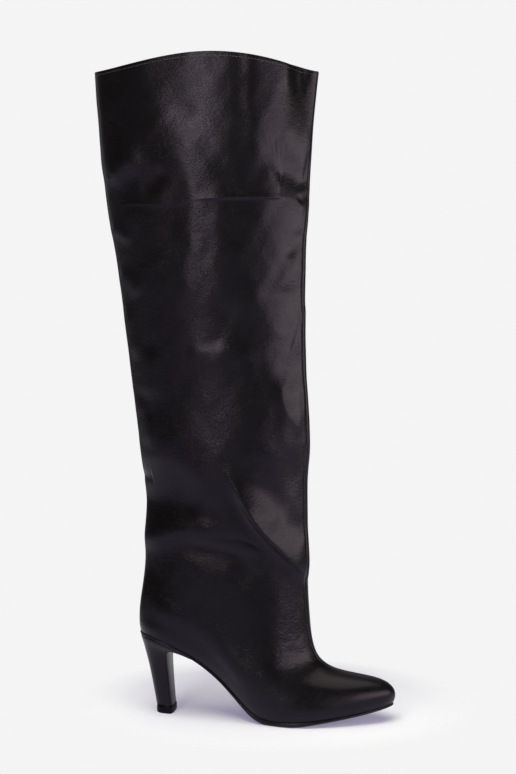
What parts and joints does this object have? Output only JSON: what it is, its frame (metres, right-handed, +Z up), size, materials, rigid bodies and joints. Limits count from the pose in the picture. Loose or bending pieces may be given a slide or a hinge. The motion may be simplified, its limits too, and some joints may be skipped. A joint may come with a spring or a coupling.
{
  "type": "over-the-knee boot",
  "caption": "Right over-the-knee boot: smooth hollow leather shaft, almond toe, thin curved sole, slim high heel.",
  "frame": {"origin": "middle of the boot's box, on the floor it stands on", "axes": "+X from heel to toe, +Z up the shaft, -Y towards the outer side of a right foot"},
  "size_m": [0.2796, 0.0834, 0.6114],
  "materials": {
    "leather": "smooth, semi-gloss",
    "sole": "satin, polished edge",
    "lining": "matte knit",
    "heel": "smooth, semi-gloss, stretched over a hard core",
    "heel_tip": "matte"
  },
  "bodies": {
    "root": {"upper": "leather", "outsole": "sole", "insole": "lining", "heel": "heel", "heel_tip": "heel_tip"}
  },
  "joints": []
}
